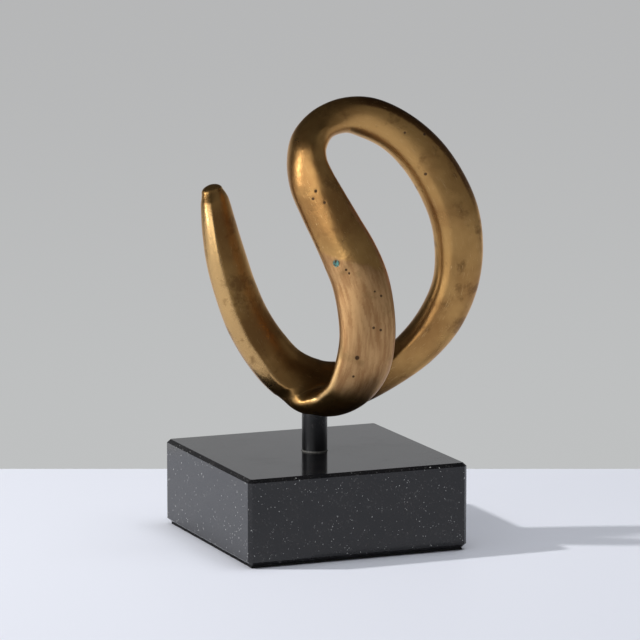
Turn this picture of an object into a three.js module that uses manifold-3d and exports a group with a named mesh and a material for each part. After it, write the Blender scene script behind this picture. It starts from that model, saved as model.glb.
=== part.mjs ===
// Abstract bronze on a stone plinth.
// The bronze is one casting: a tapering horn runs down into a bowl-shaped foot, swings
// on up and round in an open loop, and comes down in front of itself as a broad arm that
// curls back under the foot. A black steel rod carries it over a polished granite
// plinth, which stands on a thin felt pad.
// Millimetres, +Z up. The origin is under the middle of the pad, at the surface that
// the object stands on, and the plinth's sides lie along X and Y.

import * as THREE from "three";
import { mergeVertices } from "three/addons/utils/BufferGeometryUtils.js";
import Module from "manifold-3d";

const wasm = await Module();
wasm.setup();

// ------------------------------------------------------------ driving dimensions
const clearance = 0.3;

const plinthSide = 109;
const plinthHeight = 40;
const plinthChamfer = 1.6;

const padThickness = 1;
const padInset = 2;

const rodDiameter = 12;
const rodInStone = 12;
const rodAboveStone = 23;
const rodEndChamfer = 0.6;

const bronzeTurn = 22.4;
const hornNose = 3.2;
const curlNose = 1.5;

// How finely the curved faces are divided.
const sectionSides = 28;
const ringsPerStation = 3;
const noseRings = 4;
const roundSides = 48;

const plinthBase = padThickness + clearance;
const plinthTop = plinthBase + plinthHeight;

// ------------------------------------------------------------ the bronze's strand
// Stations along the middle of the casting, from the horn's tip to the end of the curl,
// in the bronze's own frame: x along the loop, y away from its face, z up from the
// plinth's top. Each row holds
//   x, y, z,  width, front, back,  turn, tip, ridge,  crest
// where width is measured across the strand and front and back are the swell of its two
// faces. The front face looks turn degrees to the right of -y and tip degrees up. ridge
// is where the front face is highest, from -1 at the outer edge to 1 at the loop's side,
// and crest is the power of its profile: 2 is round and less is keener.
const horn = [
  [-47.6, -4, 123.6, 10.5, 3.8, 3.6, 25, 0, -0.2, 2],
  [-46.4, -4, 119, 14, 5, 4.5, 25, 0, -0.4, 1.7],
  [-44.1, -4, 105.5, 17.5, 6.5, 5.5, 25, 0, -0.5, 1.6],
  [-40.9, -4, 91, 20, 7, 6.5, 25, 0, -0.5, 1.6],
  [-36.8, -3.5, 77, 21, 7, 7, 25, 2, -0.5, 1.6],
  [-31, -3, 62.3, 22, 7, 7, 22, 6, -0.5, 1.6],
  [-23, -2, 49, 23, 7, 7.5, 18, 12, -0.55, 1.5],
];
const foot = [
  [-13.2, 0.5, 37.6, 24, 7, 8.5, 10, 18, -0.65, 1.3],
  [0.5, 3.8, 29.7, 26.5, 7, 9, 2, 21, -0.3, 1.5],
  [17.5, 7, 31, 22, 7.5, 8.5, 5, 16, -0.3, 1.4],
];
const arc = [
  [35.5, 10, 38, 18.5, 6.5, 7.5, 10, 5, 0.3, 1.6],
  [48.3, 11, 47.8, 20, 7, 7, 12, 0, 0.4, 1.6],
  [59, 11, 61, 22, 7.5, 7, 15, -3, 0.4, 1.6],
  [66, 10, 77.5, 22.5, 7.5, 7, 15, -5, 0.4, 1.6],
  [67.7, 9, 95, 23.3, 7.5, 7, 12, -5, 0.35, 1.6],
  [64.5, 7, 114, 23.5, 7.5, 7, 10, -8, 0.3, 1.6],
  [52.5, 4.5, 136.6, 22.5, 7.5, 7, 5, -12, 0.2, 1.7],
];
const crown = [
  [38.5, 2, 150.5, 21, 7, 7, 0, -15, 0.1, 1.8],
  [24.3, 0, 157.5, 20.3, 6.5, 7, -5, -18, 0.1, 1.7],
  [13.6, -2, 158.7, 16.8, 6.5, 7, -15, -15, 0.2, 1.6],
  [3.3, -4.5, 154.7, 15.5, 6.5, 7, -25, -10, 0.3, 1.8],
  [-2.7, -7, 146.5, 18.5, 6.5, 6.5, -30, -5, 0.2, 2],
];
const arm = [
  [-3.5, -9, 138, 20.5, 6.5, 6.5, -28, 0, 0, 2],
  [-1, -11, 128.5, 22.5, 6.5, 6.5, -20, 3, -0.1, 2],
  [4.2, -12.5, 118, 23.5, 6.5, 6.5, -12, 5, -0.1, 2],
  [10.4, -14, 106.5, 24.5, 6.5, 6.5, -5, 5, -0.1, 2],
  [16.4, -15, 95, 26, 6.5, 6.5, 0, 3, 0, 2],
  [21.1, -16, 83.5, 26.5, 6.5, 6.5, 0, 0, 0, 2],
  [23.9, -16.5, 69.5, 26.5, 6.5, 6.5, 5, -3, 0, 2],
  [24.5, -16, 55, 26.5, 6.5, 6.5, 10, -10, 0, 2],
];
const curl = [
  [21.9, -13.5, 41.3, 27, 6.5, 6, 15, -25, 0, 2],
  [15.8, -9.5, 30, 25.5, 6.2, 5.5, 18, -44, 0, 2],
  [7.8, -5.2, 24.2, 23, 6, 6, 11, -55, 0, 2],
  [0.4, -3.4, 22.5, 18.5, 5.2, 6.3, 2, -59, 0, 2],
  [-5.8, -2.9, 22.7, 14, 4.3, 5.8, -9, -58, 0, 2],
  [-10.6, -2.8, 24.2, 9.7, 3.2, 4.5, -21, -53, 0, 2],
  [-13.6, -2.6, 26.1, 6, 2, 3, -31, -45, 0, 2],
];
const stations = [...horn, ...foot, ...arc, ...crown, ...arm, ...curl];
const crownTop = horn.length + foot.length + arc.length + 1;

// ------------------------------------------------------------ solids
// A closed mesh as a manifold solid, with its shared corners merged.
function toSolid(geometry) {
  const bare = geometry.clone();
  bare.deleteAttribute("normal");
  bare.deleteAttribute("uv");
  const merged = mergeVertices(bare);
  return new wasm.Manifold(new wasm.Mesh({
    numProp: 3,
    vertProperties: new Float32Array(merged.attributes.position.array),
    triVerts: new Uint32Array(merged.index.array),
  }));
}

function toGeometry(solid) {
  const mesh = solid.getMesh();
  const geometry = new THREE.BufferGeometry();
  geometry.setAttribute("position", new THREE.BufferAttribute(mesh.vertProperties, 3));
  geometry.setIndex(new THREE.BufferAttribute(mesh.triVerts, 1));
  geometry.computeVertexNormals();
  return geometry;
}

// A skin over rings of equally many points, closed by a fan over each end ring.
function skin(rings) {
  const sides = rings[0].length;
  const points = rings.flat();
  const index = [];
  for (let ring = 0; ring < rings.length - 1; ring += 1) {
    for (let side = 0; side < sides; side += 1) {
      const here = ring * sides + side;
      const beside = ring * sides + ((side + 1) % sides);
      index.push(here, beside, here + sides);
      index.push(beside, beside + sides, here + sides);
    }
  }
  const middleOf = (ring) => ring
    .reduce((sum, point) => sum.add(point), new THREE.Vector3())
    .divideScalar(sides);
  const start = points.push(middleOf(rings[0])) - 1;
  const end = points.push(middleOf(rings[rings.length - 1])) - 1;
  const lastRing = (rings.length - 1) * sides;
  for (let side = 0; side < sides; side += 1) {
    const next = (side + 1) % sides;
    index.push(start, next, side);
    index.push(end, lastRing + side, lastRing + next);
  }
  const geometry = new THREE.BufferGeometry().setFromPoints(points);
  geometry.setIndex(index);
  return geometry;
}

// ------------------------------------------------------------ bronze
// Three columns of the stations as one smooth track.
function track(firstColumn, kind) {
  const points = stations.map((row) =>
    new THREE.Vector3(...row.slice(firstColumn, firstColumn + 3)));
  return new THREE.CatmullRomCurve3(points, false, kind);
}

const middleTrack = track(0, "centripetal");
const girthTrack = track(3, "catmullrom");
const attitudeTrack = track(6, "catmullrom");
const crestTrack = track(9, "catmullrom");

// Height of a face at a place across the strand, as a share of its swell.
function swell(across, ridge, crest) {
  const reach = across > ridge ? 1 - ridge : 1 + ridge;
  const away = Math.abs(across - ridge) / reach;
  return Math.sqrt(Math.max(0, 1 - away ** crest));
}

// The closed outline of the strand at a place along it, shrunk by scale and moved
// forward by slide for the rounded ends.
function sectionRing(along, scale = 1, slide = 0) {
  const centre = middleTrack.getPoint(along);
  const forward = middleTrack.getTangent(along);
  const girth = girthTrack.getPoint(along);
  const attitude = attitudeTrack.getPoint(along);
  const crest = crestTrack.getPoint(along).x;
  const turn = THREE.MathUtils.degToRad(attitude.x);
  const tip = THREE.MathUtils.degToRad(attitude.y);
  const outward = new THREE.Vector3(
    Math.sin(turn) * Math.cos(tip),
    -Math.cos(turn) * Math.cos(tip),
    Math.sin(tip),
  );
  outward.addScaledVector(forward, -outward.dot(forward)).normalize();
  const sideways = new THREE.Vector3().crossVectors(outward, forward);
  centre.addScaledVector(forward, slide);
  const ring = [];
  for (let side = 0; side < sectionSides; side += 1) {
    const angle = (2 * Math.PI * side) / sectionSides;
    const across = Math.cos(angle);
    const height = Math.sin(angle) >= 0
      ? girth.y * swell(across, attitude.z, crest)
      : -girth.z * swell(across, 0, 2);
    ring.push(centre.clone()
      .addScaledVector(sideways, scale * across * girth.x / 2)
      .addScaledVector(outward, scale * height));
  }
  return ring;
}

// A stretch of the strand between two stations, with a rounded nose at an end that has
// a nose length and a flat end at one that has none.
function stretch(firstStation, lastStation, firstNose, lastNose) {
  const rings = [];
  const place = (station) => station / (stations.length - 1);
  for (let k = noseRings; k > 0 && firstNose > 0; k -= 1) {
    const angle = (0.5 * Math.PI * k) / (noseRings + 0.5);
    rings.push(sectionRing(place(firstStation), Math.cos(angle), -firstNose * Math.sin(angle)));
  }
  const steps = (lastStation - firstStation) * ringsPerStation;
  for (let step = 0; step <= steps; step += 1) {
    rings.push(sectionRing(place(firstStation + step / ringsPerStation)));
  }
  for (let k = 1; k <= noseRings && lastNose > 0; k += 1) {
    const angle = (0.5 * Math.PI * k) / (noseRings + 0.5);
    rings.push(sectionRing(place(lastStation), Math.cos(angle), lastNose * Math.sin(angle)));
  }
  return toSolid(skin(rings));
}

// A round hole for the rod between two heights over the stone.
function rodHole(low, high) {
  const radius = rodDiameter / 2 + clearance;
  const hole = new THREE.CylinderGeometry(radius, radius, high - low, roundSides);
  hole.rotateX(Math.PI / 2);
  hole.translate(0, 0, (low + high) / 2);
  return toSolid(hole);
}

function bronze() {
  const hornAndLoop = stretch(0, crownTop, hornNose, 0);
  const armAndCurl = stretch(crownTop, stations.length - 1, 0, curlNose);
  const casting = hornAndLoop.add(armAndCurl);
  return toGeometry(casting.subtract(rodHole(0, rodAboveStone + clearance)));
}

// ------------------------------------------------------------ plinth, pad and rod
// A square block centred on the Z axis, with its edges and corners chamfered.
function chamferedBlock(side, height, chamfer) {
  const half = side / 2 - chamfer;
  const cut = half - chamfer * (Math.SQRT2 - 1);
  const outline = new THREE.Shape([
    new THREE.Vector2(half, -cut),
    new THREE.Vector2(half, cut),
    new THREE.Vector2(cut, half),
    new THREE.Vector2(-cut, half),
    new THREE.Vector2(-half, cut),
    new THREE.Vector2(-half, -cut),
    new THREE.Vector2(-cut, -half),
    new THREE.Vector2(cut, -half),
  ]);
  const block = new THREE.ExtrudeGeometry(outline, {
    depth: height - 2 * chamfer,
    bevelThickness: chamfer,
    bevelSize: chamfer,
    bevelSegments: 1,
  });
  return block.translate(0, 0, chamfer);
}

function plinth() {
  const block = chamferedBlock(plinthSide, plinthHeight, plinthChamfer);
  const seat = rodHole(plinthHeight - rodInStone - clearance, plinthHeight + 1);
  return toGeometry(toSolid(block).subtract(seat));
}

function rod() {
  const radius = rodDiameter / 2;
  const profile = [
    new THREE.Vector2(0, -rodInStone),
    new THREE.Vector2(radius - rodEndChamfer, -rodInStone),
    new THREE.Vector2(radius, -rodInStone + rodEndChamfer),
    new THREE.Vector2(radius, rodAboveStone - rodEndChamfer),
    new THREE.Vector2(radius - rodEndChamfer, rodAboveStone),
    new THREE.Vector2(0, rodAboveStone),
  ];
  return new THREE.LatheGeometry(profile, roundSides).rotateX(Math.PI / 2);
}

function pad() {
  const side = plinthSide - 2 * padInset;
  return new THREE.BoxGeometry(side, side, padThickness).translate(0, 0, padThickness / 2);
}

// ------------------------------------------------------------ finishes and assembly
const finish = (color, roughness, metalness) =>
  new THREE.MeshStandardMaterial({ color, roughness, metalness });

function piece(name, geometry, material, height, turn = 0) {
  const mesh = new THREE.Mesh(geometry, material);
  mesh.name = name;
  mesh.position.z = height;
  mesh.rotation.z = THREE.MathUtils.degToRad(turn);
  return mesh;
}

const sculpture = new THREE.Group();
sculpture.add(
  piece("felt_pad", pad(), finish(0x0c0c0d, 1, 0), 0),
  piece("granite_plinth", plinth(), finish(0x18181a, 0.1, 0), plinthBase),
  piece("support_rod", rod(), finish(0x0a0a0b, 0.3, 0.6), plinthTop),
  piece("bronze_form", bronze(), finish(0xa6763a, 0.3, 1), plinthTop, -bronzeTurn),
);

export default sculpture;
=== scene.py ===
import math

import bpy
import numpy as np
from mathutils import Matrix, Vector
from mathutils.bvhtree import BVHTree


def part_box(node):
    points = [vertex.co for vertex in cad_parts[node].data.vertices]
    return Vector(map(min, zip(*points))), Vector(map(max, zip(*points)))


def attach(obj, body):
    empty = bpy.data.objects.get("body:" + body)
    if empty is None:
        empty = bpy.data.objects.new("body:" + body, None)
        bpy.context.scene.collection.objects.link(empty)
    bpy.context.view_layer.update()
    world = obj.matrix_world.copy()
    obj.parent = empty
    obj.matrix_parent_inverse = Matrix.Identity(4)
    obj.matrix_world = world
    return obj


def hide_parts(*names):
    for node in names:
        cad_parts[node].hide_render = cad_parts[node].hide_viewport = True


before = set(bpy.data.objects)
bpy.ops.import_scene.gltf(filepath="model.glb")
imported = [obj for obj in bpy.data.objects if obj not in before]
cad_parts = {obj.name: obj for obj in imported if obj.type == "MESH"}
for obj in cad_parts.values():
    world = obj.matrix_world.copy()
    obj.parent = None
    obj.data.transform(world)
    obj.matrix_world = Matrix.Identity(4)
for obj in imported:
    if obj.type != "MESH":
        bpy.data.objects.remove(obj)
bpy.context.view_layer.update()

MM = 0.001

STONE_TOP = Vector(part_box("granite_plinth")[1]).z
BRONZE_TURN = math.radians(-22.4)


# ---------------------------------------------------------------- small helpers
def add_object(name, points, faces, material=None):
    mesh = bpy.data.meshes.new(name)
    mesh.from_pydata([tuple(p) for p in points], [], [tuple(f) for f in faces])
    mesh.update()
    mesh.polygons.foreach_set("use_smooth", [True] * len(mesh.polygons))
    if material:
        mesh.materials.append(material)
    made = bpy.data.objects.new(name, mesh)
    bpy.context.scene.collection.objects.link(made)
    return made


def bake_modifiers(obj):
    graph = bpy.context.evaluated_depsgraph_get()
    graph.update()
    old = obj.data
    obj.data = bpy.data.meshes.new_from_object(obj.evaluated_get(graph))
    obj.modifiers.clear()
    bpy.data.meshes.remove(old)


def smoothstep(low, high, value):
    t = np.clip((value - low) / (high - low), 0, 1)
    return t * t * (3 - 2 * t)


# ---------------------------------------------------------------- shader writing
class Val:
    """A shader socket that can be used in Python sums."""

    def __init__(self, writer, socket):
        self.writer = writer
        self.socket = socket

    def _math(self, operation, *values):
        return self.writer.node("ShaderNodeMath", {"operation": operation}, dict(enumerate(values)))

    def __add__(self, other):
        return self._math("ADD", self, other)

    def __radd__(self, other):
        return self._math("ADD", other, self)

    def __sub__(self, other):
        return self._math("SUBTRACT", self, other)

    def __rsub__(self, other):
        return self._math("SUBTRACT", other, self)

    def __mul__(self, other):
        return self._math("MULTIPLY", self, other)

    def __rmul__(self, other):
        return self._math("MULTIPLY", other, self)

    def __truediv__(self, other):
        return self._math("DIVIDE", self, other)

    def __rtruediv__(self, other):
        return self._math("DIVIDE", other, self)

    def least(self, other):
        return self._math("MINIMUM", self, other)

    def most(self, other):
        return self._math("MAXIMUM", self, other)

    def size(self):
        return self._math("ABSOLUTE", self)

    def ramp(self, low, high, a=0.0, b=1.0):
        """a below low, b above high, eased between them."""
        return self.writer.node(
            "ShaderNodeMapRange",
            {"interpolation_type": "SMOOTHSTEP", "clamp": True},
            {"Value": self, "From Min": low, "From Max": high, "To Min": a, "To Max": b},
        )

    def band(self, rise, full, fall, end):
        """0 outside, eased up from rise to full and down again from fall to end."""
        return self.ramp(rise, full) * self.ramp(fall, end, 1, 0)


class Tree:
    """Writes nodes into one node tree."""

    def __init__(self, tree):
        self.tree = tree

    def node(self, kind, settings=None, inputs=None, out=0):
        made = self.tree.nodes.new(kind)
        for key, value in (settings or {}).items():
            setattr(made, key, value)
        for key, value in (inputs or {}).items():
            self.feed(made.inputs[key], value)
        return Val(self, made.outputs[out])

    def feed(self, socket, value):
        if isinstance(value, Val):
            self.tree.links.new(value.socket, socket)
        else:
            socket.default_value = value

    def axis(self, vector, letter):
        return self.node("ShaderNodeSeparateXYZ", None, {0: vector}, out=letter)

    def vector(self, operation, *values, out=0):
        inputs = dict(enumerate(values))
        return self.node("ShaderNodeVectorMath", {"operation": operation}, inputs, out)

    def colour(self, factor, a, b):
        """Colour a where factor is 0 and b where it is 1."""
        settings = {"data_type": "RGBA", "clamp_factor": True}
        a, b = (c if isinstance(c, Val) else (*c[:3], 1.0) for c in (a, b))
        return self.node("ShaderNodeMix", settings, {0: factor, 6: a, 7: b}, out=2)


class Mat(Tree):
    """A node material with a principled shader."""

    def __init__(self, name, **uniform):
        self.material = bpy.data.materials.new(name)
        self.material.use_nodes = True
        super().__init__(self.material.node_tree)
        self.tree.nodes.clear()
        output = self.tree.nodes.new("ShaderNodeOutputMaterial")
        self.shader = self.tree.nodes.new("ShaderNodeBsdfPrincipled")
        self.tree.links.new(self.shader.outputs[0], output.inputs[0])
        for key, value in uniform.items():
            self.shader.inputs[key.replace("_", " ")].default_value = value

    def where(self):
        """The place on the object, in metres."""
        return self.node("ShaderNodeTexCoord", out="Object")

    def attribute(self, name, out="Fac"):
        return self.node("ShaderNodeAttribute", {"attribute_name": name}, out=out)

    def stretched(self, vector, scale):
        """The place, with each axis counted scale times as finely."""
        return self.vector("MULTIPLY", vector, scale)

    def noise(self, scale, detail=3.0, rough=0.5, vector=None, warp=0.0):
        return self.node(
            "ShaderNodeTexNoise", None,
            {"Vector": vector or self.where(), "Scale": scale, "Detail": detail,
             "Roughness": rough, "Distortion": warp},
        )

    def grains(self, scale, letter):
        """One even random number for each grain, taken from its X, Y or Z."""
        inputs = {"Vector": self.where(), "Scale": scale}
        return self.axis(self.node("ShaderNodeTexVoronoi", None, inputs, out="Color"), letter)

    def away(self, point):
        """Distance from a point, in metres."""
        return self.vector("DISTANCE", self.where(), tuple(point), out="Value")

    def finish(self, colour, rough, bumps=(), **others):
        """Joins the finish to the shader. Each bump is a height and its depth in metres."""
        self.feed(self.shader.inputs["Base Color"], colour)
        self.feed(self.shader.inputs["Roughness"], rough)
        for key, value in others.items():
            self.feed(self.shader.inputs[key.replace("_", " ")], value)
        normal = None
        for height, depth in bumps:
            inputs = {"Height": height, "Strength": 1.0, "Distance": depth}
            if normal:
                inputs["Normal"] = normal
            normal = self.node("ShaderNodeBump", None, inputs)
        if normal:
            self.feed(self.shader.inputs["Normal"], normal)
        return self.material


def srgb(text):
    """Linear colour from six hexadecimal digits."""
    out = []
    for k in (0, 2, 4):
        c = int(text[k:k + 2], 16) / 255
        out.append(c / 12.92 if c <= 0.04045 else ((c + 0.055) / 1.055) ** 2.4)
    return tuple(out)


# ---------------------------------------------------------------- finishes
# Casting pits on the front of the strand: station, across, radius in mm, depth in mm.
PITS = [
    (26.05, -0.54, 1.9, 0.45), (23.38, 0.18, 0.8, 0.25), (23.57, -0.08, 0.7, 0.2),
    (23.93, 0.23, 0.7, 0.2), (26.43, -0.33, 0.8, 0.2), (26.6, -0.26, 0.7, 0.2),
    (27.43, 0.41, 0.7, 0.15), (27.6, 0.6, 0.8, 0.2), (28.5, 0.16, 0.7, 0.15),
    (28.6, 0.41, 0.7, 0.15), (29.45, -0.41, 1.4, 0.35), (30.12, -0.43, 0.8, 0.2),
    (15.88, 0.33, 0.9, 0.25), (16.55, -0.79, 0.8, 0.2), (16.9, -0.38, 0.7, 0.15),
]
BRONZE = (0.46, 0.265, 0.092)
# Lighter bronze: real wear in the scratches, and painted highlight on the horn's ridge and the
# bottom rim.
WEAR_AND_HIGHLIGHT = (0.60, 0.39, 0.17)
# Dark brown: real patina in cloudy patches, and painted shade over the top, underneath and round
# the foot.
PATINA_AND_SHADE = (0.13, 0.062, 0.022)
TAN = (0.50, 0.30, 0.135)
TAN_DARK = (0.34, 0.18, 0.075)
# Coppery tint painted along the front arm's edge as a reflection.
SHEEN_COPPER = (0.48, 0.24, 0.11)
OLIVE = (0.27, 0.17, 0.07)
PIT_DARK = (0.045, 0.022, 0.010)
VERDIGRIS = (0.10, 0.30, 0.26)


def bronze_finish(pit_places):
    """Brown bronze with a bare tan arm, patina, scratches and pits, and painted light: highlights
    on the horn's ridge and the bottom rim, shade over the top, underneath and round the foot, and a
    coppery reflection along the arm's edge.
    """
    mat = Mat("worn_bronze")
    station, across, face = (mat.attribute(name) for name in ("station", "across", "face"))
    strand_place = mat.attribute("strand", out="Vector")
    broad = mat.noise(22, 4, 0.6)
    cloud = mat.noise(75, 5, 0.65)
    fine = mat.noise(900, 3, 0.6)
    streak = mat.noise(1, 4, 0.6, vector=mat.stretched(strand_place, (60, 420, 420)))
    wobble = (cloud - 0.5) * 0.9
    front = face.ramp(-0.1, 0.25)

    colour = mat.colour(broad.ramp(0.38, 0.62), BRONZE, (0.30, 0.155, 0.052))
    near = station + wobble
    # Painted highlight: the horn's left ridge is painted lighter, in the same colour as the
    # scratches.
    ridge = near.band(0.6, 1.6, 6.2, 7.2) * (across + wobble * 0.15).ramp(-0.62, -0.5, 1, 0) * front
    colour = mat.colour(ridge * 0.7, colour, WEAR_AND_HIGHLIGHT)
    # Painted shade: the up-facing outer edge over the top of the loop is painted dark.
    crown_shade = near.band(14.6, 15.4, 18, 19.4) * (across + wobble * 0.1).ramp(-0.84, -0.74, 1, 0)
    # Painted shade: the back and underside of the strand are painted darker.
    underside_shade = (face * -1).ramp(0.0, 0.6)
    # Painted shade: the whole strand round the bowl of the foot is painted darker.
    foot = near.band(6.8, 8, 9.6, 10.6)
    # The random cloudy patches are real patina; the other masks joined here are painted shade.
    shade_and_patina = crown_shade.most(underside_shade * 0.55).most(foot * 0.6).most(cloud.ramp(0.53, 0.68) * 0.6)
    colour = mat.colour(shade_and_patina, colour, PATINA_AND_SHADE)

    border = station - across * 0.84 + (broad - 0.5) * 1.6 + (cloud - 0.5) * 0.6
    bare = border.ramp(25.95, 26.25) * near.ramp(30.6, 31.3, 1, 0) * front
    bare_colour = mat.colour(streak.ramp(0.34, 0.66), TAN_DARK, TAN)
    bare_colour = mat.colour(cloud.ramp(0.55, 0.75) * 0.6, bare_colour, OLIVE)
    colour = mat.colour(bare, colour, bare_colour)
    # Painted reflection: a coppery sheen painted along the front arm's outer edge.
    edge_sheen = (across + wobble * 0.05).ramp(0.84, 0.92) * station.band(24.2, 24.6, 27.2, 27.6)
    colour = mat.colour(edge_sheen * 0.8, colour, SHEEN_COPPER)
    # Painted highlight: a lighter line painted along the curl's bottom rim.
    rim_highlight = across.ramp(-0.95, -0.86, 1, 0) * station.band(29.2, 29.8, 32.6, 33.4)
    colour = mat.colour(rim_highlight * 0.7, colour, WEAR_AND_HIGHLIGHT)

    scuffs = mat.noise(1, 3, 0.6, vector=mat.stretched(strand_place, (260, 2600, 2600)), warp=0.4)
    scratch = scuffs.ramp(0.64, 0.67) * 0.7
    colour = mat.colour(scratch * (1 - bare), colour, WEAR_AND_HIGHLIGHT)
    pit = 0.0
    for place, (_, _, radius, _) in zip(pit_places, PITS):
        edge = radius * MM
        ragged = mat.away(place) + (cloud - 0.5) * edge
        pit = ragged.ramp(edge * 0.6, edge * 1.05, 1, 0) + pit
    pit = pit.least(1.0)
    colour = mat.colour(pit * 0.85, colour, PIT_DARK)
    salt = mat.away(pit_places[0]).ramp(1.0 * MM, 2.1 * MM, 1, 0) * fine.ramp(0.4, 0.55)
    colour = mat.colour(salt, colour, VERDIGRIS)

    rough = 0.24 + cloud * 0.10 + shade_and_patina * 0.12 + bare * 0.14 + pit * 0.3 - ridge * 0.03
    metal = 1 - salt * 0.9 - pit * 0.3
    ripple = broad * 0.6 + cloud * 0.4
    return mat.finish(
        colour, rough,
        [(ripple, 0.0006), (streak * bare, 0.00008), (fine, 0.00002)], Metallic=metal)


def granite_finish():
    """Near-black polished stone with small sparse grains on its sides."""
    mat = Mat("polished_granite", Specular_IOR_Level=0.5)
    side = mat.axis(mat.where(), "Z").ramp(STONE_TOP - 0.0009, STONE_TOP - 0.0002, 1, 0)
    patch = mat.noise(120, 3, 0.6).ramp(0.3, 0.7)
    grain = mat.grains(1500, "X")
    spark = mat.grains(1900, "Y")
    needle = mat.noise(1, 2, 0.5, vector=mat.stretched(mat.where(), (2600, 900, 1200)))
    colour = mat.colour(patch, (0.0040, 0.0040, 0.0050), (0.0085, 0.0080, 0.0085))
    colour = mat.colour(grain.ramp(0.90, 0.99) * side * patch * 0.8, colour, (0.055, 0.053, 0.052))
    colour = mat.colour(needle.ramp(0.68, 0.74) * side * 0.5, colour, (0.06, 0.06, 0.062))
    colour = mat.colour(spark.ramp(0.985, 0.996) * side, colour, (0.30, 0.30, 0.29))
    smear = mat.noise(60, 4, 0.6)
    return mat.finish(colour, 0.10 + smear.ramp(0.4, 0.8) * 0.10, [(smear, 0.00001)])


def steel_finish():
    """Black satin steel, scuffed near the bronze, with dried glue at its foot."""
    mat = Mat("blackened_steel", Metallic=0.4)
    height = mat.axis(mat.where(), "Z")
    cloud = mat.noise(200, 4, 0.6)
    lines = mat.noise(1, 3, 0.6, vector=mat.stretched(mat.where(), (1500, 1500, 350)))
    colour = mat.colour(cloud, srgb("08080a"), srgb("151517"))
    scuff = lines.ramp(0.62, 0.68) * height.ramp(STONE_TOP + 0.008, STONE_TOP + 0.018)
    colour = mat.colour(scuff * 0.6, colour, (0.32, 0.31, 0.30))
    glue = (height + (cloud - 0.5) * 0.0006).ramp(STONE_TOP + 0.0004, STONE_TOP + 0.0008, 1, 0)
    colour = mat.colour(glue * 0.7, colour, (0.30, 0.29, 0.27))
    return mat.finish(colour, 0.32 + cloud * 0.12 + glue * 0.3, [(lines, 0.00002)])


def felt_finish():
    """Black fibres, with no shine."""
    mat = Mat("black_felt")
    fuzz = mat.noise(1500, 3, 0.6)
    colour = mat.colour(fuzz, srgb("060607"), srgb("18181a"))
    return mat.finish(colour, 0.9 + fuzz * 0.1, [(fuzz, 0.0002)])


def table_finish():
    """Pale matt card, faintly uneven."""
    mat = Mat("pale_table")
    cloud = mat.noise(3, 2, 0.5)
    colour = mat.colour(cloud, (0.78, 0.80, 0.88), (0.76, 0.78, 0.86))
    return mat.finish(colour, 0.6)


# ---------------------------------------------------------------- the bronze's strand
# Columns: x, y, z, width, front, back, turn, tip, ridge, crest, in millimetres and degrees.
STATIONS = np.array([
    [-47.6, -4, 123.6, 10.5, 3.8, 3.6, 25, 0, -0.2, 2],
    [-46.4, -4, 119, 14, 5, 4.5, 25, 0, -0.4, 1.7],
    [-44.1, -4, 105.5, 17.5, 6.5, 5.5, 25, 0, -0.5, 1.6],
    [-40.9, -4, 91, 20, 7, 6.5, 25, 0, -0.5, 1.6],
    [-36.8, -3.5, 77, 21, 7, 7, 25, 2, -0.5, 1.6],
    [-31, -3, 62.3, 22, 7, 7, 22, 6, -0.5, 1.6],
    [-23, -2, 49, 23, 7, 7.5, 18, 12, -0.55, 1.5],
    [-13.2, 0.5, 37.6, 24, 7, 8.5, 10, 18, -0.65, 1.3],
    [0.5, 3.8, 29.7, 26.5, 7, 9, 2, 21, -0.3, 1.5],
    [17.5, 7, 31, 22, 7.5, 8.5, 5, 16, -0.3, 1.4],
    [35.5, 10, 38, 18.5, 6.5, 7.5, 10, 5, 0.3, 1.6],
    [48.3, 11, 47.8, 20, 7, 7, 12, 0, 0.4, 1.6],
    [59, 11, 61, 22, 7.5, 7, 15, -3, 0.4, 1.6],
    [66, 10, 77.5, 22.5, 7.5, 7, 15, -5, 0.4, 1.6],
    [67.7, 9, 95, 23.3, 7.5, 7, 12, -5, 0.35, 1.6],
    [64.5, 7, 114, 23.5, 7.5, 7, 10, -8, 0.3, 1.6],
    [52.5, 4.5, 136.6, 22.5, 7.5, 7, 5, -12, 0.2, 1.7],
    [38.5, 2, 150.5, 21, 7, 7, 0, -15, 0.1, 1.8],
    [24.3, 0, 157.5, 20.3, 6.5, 7, -5, -18, 0.1, 1.7],
    [13.6, -2, 158.7, 16.8, 6.5, 7, -15, -15, 0.2, 1.6],
    [3.3, -4.5, 154.7, 15.5, 6.5, 7, -25, -10, 0.3, 1.8],
    [-2.7, -7, 146.5, 18.5, 6.5, 6.5, -30, -5, 0.2, 2],
    [-3.5, -9, 138, 20.5, 6.5, 6.5, -28, 0, 0, 2],
    [-1, -11, 128.5, 22.5, 6.5, 6.5, -20, 3, -0.1, 2],
    [4.2, -12.5, 118, 23.5, 6.5, 6.5, -12, 5, -0.1, 2],
    [10.4, -14, 106.5, 24.5, 6.5, 6.5, -5, 5, -0.1, 2],
    [16.4, -15, 95, 26, 6.5, 6.5, 0, 3, 0, 2],
    [21.1, -16, 83.5, 26.5, 6.5, 6.5, 0, 0, 0, 2],
    [23.9, -16.5, 69.5, 26.5, 6.5, 6.5, 5, -3, 0, 2],
    [24.5, -16, 55, 26.5, 6.5, 6.5, 10, -10, 0, 2],
    [21.9, -13.5, 41.3, 27, 6.5, 6, 15, -25, 0, 2],
    [15.8, -9.5, 30, 25.5, 6.2, 5.5, 18, -44, 0, 2],
    [7.8, -5.2, 24.2, 23, 6, 6, 11, -55, 0, 2],
    [0.4, -3.4, 22.5, 18.5, 5.2, 6.3, 2, -59, 0, 2],
    [-5.8, -2.9, 22.7, 14, 4.3, 5.8, -9, -58, 0, 2],
    [-10.6, -2.8, 24.2, 9.7, 3.2, 4.5, -21, -53, 0, 2],
    [-13.6, -2.6, 26.1, 6, 2, 3, -31, -45, 0, 2],
])
CURL_FROM = 29
FOOT_TO = 13
HORN_NOSE = 3.2
CURL_NOSE = 1.5


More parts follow.
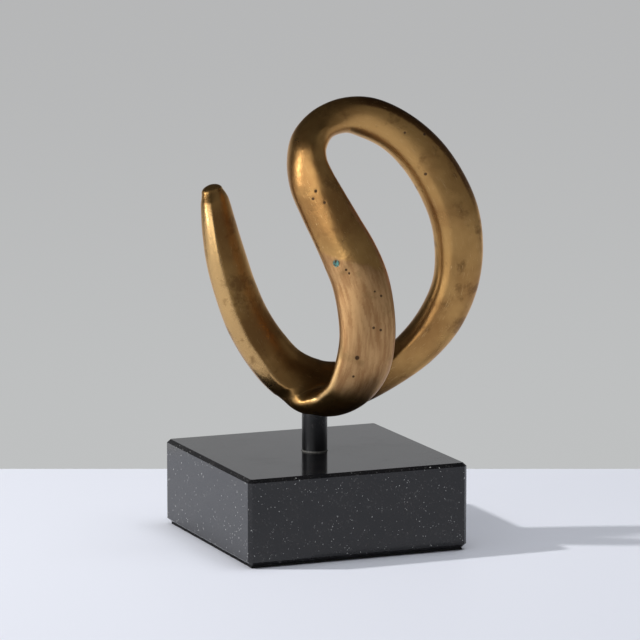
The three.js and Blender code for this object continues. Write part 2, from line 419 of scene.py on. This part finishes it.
def track(columns, stations, centripetal):
    """A Catmull-Rom curve through some columns of the stations."""
    rows = STATIONS[:, columns]
    rows = np.vstack([2 * rows[:1] - rows[1:2], rows, 2 * rows[-1:] - rows[-2:-1]])
    i = np.minimum(stations.astype(int), len(STATIONS) - 2)
    t = (stations - i)[:, None]
    p0, p1, p2, p3 = rows[i], rows[i + 1], rows[i + 2], rows[i + 3]
    if centripetal:
        d0, d1, d2 = (np.sqrt(np.linalg.norm(b - a, axis=1))[:, None]
                      for a, b in ((p0, p1), (p1, p2), (p2, p3)))
        m1 = d1 * ((p1 - p0) / d0 - (p2 - p0) / (d0 + d1) + (p2 - p1) / d1)
        m2 = d1 * ((p2 - p1) / d1 - (p3 - p1) / (d1 + d2) + (p3 - p2) / d2)
    else:
        m1 = (p2 - p0) / 2
        m2 = (p3 - p1) / 2
    return (p1 + m1 * t + (3 * (p2 - p1) - 2 * m1 - m2) * t ** 2
            + (2 * (p1 - p2) + m1 + m2) * t ** 3)


def unit(vectors):
    return vectors / np.linalg.norm(vectors, axis=-1, keepdims=True)


def swell(across, ridge, crest):
    reach = np.where(across > ridge, 1 - ridge, 1 + ridge)
    away = np.abs(across - ridge) / reach
    return np.sqrt(np.maximum(0, 1 - away ** crest))


def strand(per_station, sides, nose_rings):
    """Rings of points along the whole strand, in metres, over the stone."""
    last = len(STATIONS) - 1
    inner = np.arange(last * per_station + 1) / per_station
    bend = 0.5 * np.pi * np.arange(1, nose_rings + 1) / (nose_rings + 0.5)
    places = np.concatenate([np.zeros(nose_rings), inner, np.full(nose_rings, last)])
    shrink = np.concatenate([np.cos(bend[::-1]), np.ones(len(inner)), np.cos(bend)])
    slide = np.concatenate(
        [-HORN_NOSE * np.sin(bend[::-1]), np.zeros(len(inner)), CURL_NOSE * np.sin(bend)])
    middle = track([0, 1, 2], places, True)
    step = 0.003
    forward = unit(track([0, 1, 2], np.minimum(places + step, last), True)
                   - track([0, 1, 2], np.maximum(places - step, 0), True))
    width, front, back, turn, tip, ridge, crest = track(list(range(3, 10)), places, False).T
    turn, tip = np.radians(turn), np.radians(tip)
    outward = np.stack(
        [np.sin(turn) * np.cos(tip), -np.cos(turn) * np.cos(tip), np.sin(tip)], axis=-1)
    outward = unit(outward - (outward * forward).sum(-1, keepdims=True) * forward)
    sideways = np.cross(outward, forward)
    middle = middle + slide[:, None] * forward
    angle = 2 * np.pi * np.arange(sides) / sides
    across = np.cos(angle)[None, :]
    height = np.where(
        np.sin(angle)[None, :] >= 0,
        front[:, None] * swell(across, ridge[:, None], crest[:, None]),
        -back[:, None] * swell(across, 0.0, 2.0),
    )
    points = (middle[:, None, :]
              + (shrink[:, None] * across * width[:, None] / 2)[..., None] * sideways[:, None, :]
              + (shrink[:, None] * height)[..., None] * outward[:, None, :])
    return points * MM, places


def skin(points):
    """Faces over rings of points, with a point in the middle of each end."""
    rings, sides = points.shape[:2]
    flat = points.reshape(-1, 3)
    r, s = np.meshgrid(np.arange(rings - 1), np.arange(sides), indexing="ij")
    a = (r * sides + s).ravel()
    b = (r * sides + (s + 1) % sides).ravel()
    quads = np.stack([a, b, b + sides, a + sides], axis=-1).tolist()
    ends = np.stack([points[0].mean(0), points[-1].mean(0)])
    start, end = len(flat), len(flat) + 1
    for k in range(sides):
        n = (k + 1) % sides
        quads.append([start, n, k])
        quads.append([end, (rings - 1) * sides + k, (rings - 1) * sides + n])
    return np.vstack([flat, ends]), quads


def soften(points, edges, weight, rounds):
    """Moves each point towards the middle of its neighbours, by its weight."""
    count = np.bincount(edges.ravel(), minlength=len(points))[:, None]
    for _ in range(rounds):
        total = np.zeros_like(points)
        np.add.at(total, edges[:, 0], points[edges[:, 1]])
        np.add.at(total, edges[:, 1], points[edges[:, 0]])
        points = points + weight[:, None] * (total / count - points)
    return points


# Mean distance between stations and mean half width, for marks that follow the strand.
STATION_STEP = 0.014
HALF_WIDTH = 0.012
SKIN_STEP = 0.65 * MM
WELD_NEAR = 0.9 * MM
WELD_FAR = 4.2 * MM
WELD_ROUNDS = 80


def pit_place(rings, places, station, across):
    """A point on the front of the strand."""
    ring = np.abs(places - station).argmin()
    side = round(math.acos(across) / (2 * math.pi) * rings.shape[1])
    return rings[ring, side]


def make_bronze():
    """The casting: the strand's skin, welded where curl meets foot, with its pits."""
    turn = np.array(Matrix.Rotation(BRONZE_TURN, 3, "Z"))
    rings, places = strand(per_station=24, sides=120, nose_rings=16)
    rings = rings @ turn.T + np.array([0, 0, STONE_TOP])
    points, faces = skin(rings)
    form = add_object("bronze_casting", points, faces)
    remesh = form.modifiers.new("remesh", "REMESH")
    remesh.mode = "VOXEL"
    remesh.voxel_size = SKIN_STEP
    bake_modifiers(form)
    mesh = form.data
    count = len(mesh.vertices)
    co = np.empty(count * 3, np.float32)
    mesh.vertices.foreach_get("co", co)
    co = co.reshape(-1, 3).astype(float)
    edges = np.empty(len(mesh.edges) * 2, np.int32)
    mesh.edges.foreach_get("vertices", edges)
    edges = edges.reshape(-1, 2)

    # Two parts of the strand grow together where the curl meets the foot.
    def part(low, high):
        keep = np.where((places >= low) & (places <= high))[0]
        pts, fcs = skin(rings[keep])
        return BVHTree.FromPolygons([Vector(p) for p in pts], fcs)

    whole = BVHTree.FromPolygons([Vector(p) for p in points], faces)
    foot_tree = part(0, FOOT_TO)
    curl_tree = part(CURL_FROM, len(STATIONS) - 1)
    to_foot = np.array([foot_tree.find_nearest(Vector(p))[3] for p in co])
    to_curl = np.array([curl_tree.find_nearest(Vector(p))[3] for p in co])
    apart = np.maximum(to_foot, to_curl)
    weld = 1 - smoothstep(WELD_NEAR, WELD_FAR, apart)
    co = soften(co, edges, 0.5 * np.ones(count), 3)
    nearest = np.array([whole.find_nearest(Vector(p))[0][:] for p in co])
    co = np.where((weld < 0.02)[:, None], nearest, co)
    co = soften(co, edges, 0.6 * weld, WELD_ROUNDS)

    sides = rings.shape[1]
    found = [whole.find_nearest(Vector(p))[1:3] for p in co]
    ring, side = np.divmod(np.array([index for _, index in found]), sides)
    ring = np.minimum(ring, len(rings) - 1)
    angle = 2 * np.pi * (side + 0.5) / sides
    outward = np.array([normal[:] for normal, _ in found])
    pit_places = [pit_place(rings, places, station, across) for station, across, _, _ in PITS]
    for place, (_, _, radius, depth) in zip(pit_places, PITS):
        bowl = 1 - smoothstep(0, radius * MM * 1.15, np.linalg.norm(co - place, axis=1))
        co = co - outward * (depth * MM * bowl)[:, None]
    for name, values in (
        ("station", places[ring]), ("across", np.cos(angle)), ("face", np.sin(angle)),
    ):
        layer = mesh.attributes.new(name, "FLOAT", "POINT")
        layer.data.foreach_set("value", values.astype(np.float32))
    strand_place = np.stack(
        [places[ring] * STATION_STEP, np.cos(angle) * HALF_WIDTH, np.sin(angle) * HALF_WIDTH],
        axis=-1)
    mesh.attributes.new("strand", "FLOAT_VECTOR", "POINT").data.foreach_set(
        "vector", strand_place.astype(np.float32).ravel())
    mesh.vertices.foreach_set("co", co.astype(np.float32).ravel())
    mesh.polygons.foreach_set("use_smooth", [True] * len(mesh.polygons))
    mesh.update()
    mesh.materials.append(bronze_finish(pit_places))
    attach(form, "root")
    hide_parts("bronze_form")


make_bronze()
for node, material in (
    ("granite_plinth", granite_finish()),
    ("support_rod", steel_finish()),
    ("felt_pad", felt_finish()),
):
    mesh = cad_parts[node].data
    mesh.materials.clear()
    mesh.materials.append(material)

# ---------------------------------------------------------------- stage, lights, camera
VIEW_TURN = math.radians(-22.37)
TABLE_BACK = 0.172
TABLE_FRONT = 1.3
TABLE_SIDE = 1.6
EDGE_ROUND = 0.012
ROOM_DIM = 0.07
WALL_LOW = 0.85
# azimuth, elevation, half width, half height, softness, brightness
ROOM_LIGHTS = [
    (-66, 1, 36, 13, 0.12, 2.5),
    (-85, 3, 2.2, 2.2, 0.3, 60),
    (35, 8, 55, 24, 0.5, 0.16),
]
WALL_TOP_COLOUR = (0.468, 0.472, 0.476)
WALL_FOOT_COLOUR = (0.520, 0.530, 0.532)
ROOM_COLOUR = (0.99, 1.0, 1.02)
CAMERA_PLACE = (-0.7189, -1.7535, 0.4142)
CAMERA_TILT = math.radians(80.69)
CAMERA_LENS = 230.7


def aim(azimuth, elevation):
    """The direction of a place in the studio. Azimuth 0 is square in front of the plinth."""
    a, e = math.radians(azimuth), math.radians(elevation)
    return Vector((math.sin(a) * math.cos(e), -math.cos(a) * math.cos(e), math.sin(e)))


def make_table():
    """A flat top with a rounded back edge."""
    bend = [math.radians(6 * k) for k in range(16)]
    profile = [(-TABLE_FRONT, 0.0), (TABLE_BACK - EDGE_ROUND, 0.0)]
    profile += [(TABLE_BACK - EDGE_ROUND * (1 - math.sin(t)), -EDGE_ROUND * (1 - math.cos(t)))
                for t in bend[1:]]
    points = [(x, y, z) for x in (-TABLE_SIDE, TABLE_SIDE) for y, z in profile]
    n = len(profile)
    faces = [(k, n + k, n + k + 1, k + 1) for k in range(n - 1)]
    table = add_object("table_top", points, faces, table_finish())
    table.rotation_euler.z = VIEW_TURN


def panel(name, azimuth, elevation, distance, size, power, colour):
    """A soft light aimed at the sculpture's middle, not seen in its reflections."""
    light = bpy.data.lights.new(name, "AREA")
    light.shape = "SQUARE"
    light.size = size
    light.energy = power
    light.color = colour
    made = bpy.data.objects.new(name, light)
    direction = aim(azimuth, elevation)
    made.location = direction * distance + Vector((0, 0, 0.1))
    made.rotation_euler = direction.to_track_quat("Z", "Y").to_euler()
    made.visible_camera = False
    made.visible_glossy = False
    bpy.context.scene.collection.objects.link(made)


def make_studio():
    """The room round the table: a grey wall behind, windows to the left, dimmer elsewhere."""
    world = bpy.data.worlds.new("studio")
    world.use_nodes = True
    room = Tree(world.node_tree)
    background = world.node_tree.nodes["Background"]
    look = room.node("ShaderNodeTexCoord", out="Generated")
    height = room.axis(look, "Z")

    def spread(azimuth, elevation, wide, tall, soft):
        """1 inside a rectangle of sky of that half width and half height, in degrees."""
        middle = aim(azimuth, elevation)
        across = middle.cross(Vector((0, 0, 1))).normalized()
        up = across.cross(middle)
        ahead = room.vector("DOT_PRODUCT", look, tuple(middle), out="Value")
        x = (room.vector("DOT_PRODUCT", look, tuple(across), out="Value") / ahead).size()
        y = (room.vector("DOT_PRODUCT", look, tuple(up), out="Value") / ahead).size()
        w, t = math.tan(math.radians(wide)), math.tan(math.radians(tall))
        shape = x.ramp(w * (1 - soft), w * (1 + soft), 1, 0)
        shape = shape * y.ramp(t * (1 - soft), t * (1 + soft), 1, 0)
        return shape * ahead.ramp(0.0, 0.02)

    light = ROOM_DIM
    for azimuth, elevation, wide, tall, soft, strength in ROOM_LIGHTS:
        light = light + spread(azimuth, elevation, wide, tall, soft) * strength
    wall = tuple(aim(157.6, 0))
    behind = room.vector("DOT_PRODUCT", look, wall, out="Value").ramp(0.1, 0.7)
    light = light + behind * height.ramp(-0.1, 0.45, WALL_LOW, 0.0)
    backdrop = room.colour(height.ramp(-0.2, -0.08), WALL_FOOT_COLOUR, WALL_TOP_COLOUR)
    seen = room.node("ShaderNodeLightPath", out="Is Camera Ray")
    tint = room.colour(seen, ROOM_COLOUR, backdrop)
    room.feed(background.inputs["Color"], tint)
    room.feed(background.inputs["Strength"], light * (1 - seen) + seen)
    bpy.context.scene.world = world


make_table()
make_studio()
panel("key", -110, 40, 1.9, 0.09, 27, (1.0, 0.99, 0.97))
panel("ceiling_fill", 60, 82, 1.7, 1.1, 18, (0.96, 0.98, 1.0))

camera_data = bpy.data.cameras.new("camera")
camera_data.lens = CAMERA_LENS
camera_data.sensor_width = 36
camera = bpy.data.objects.new("camera", camera_data)
camera.location = CAMERA_PLACE
camera.rotation_euler = (CAMERA_TILT, 0, VIEW_TURN)
camera_data.clip_start = 0.05
camera_data.clip_end = 60
bpy.context.scene.collection.objects.link(camera)
bpy.context.scene.camera = camera
bpy.context.scene.view_settings.view_transform = "Standard"
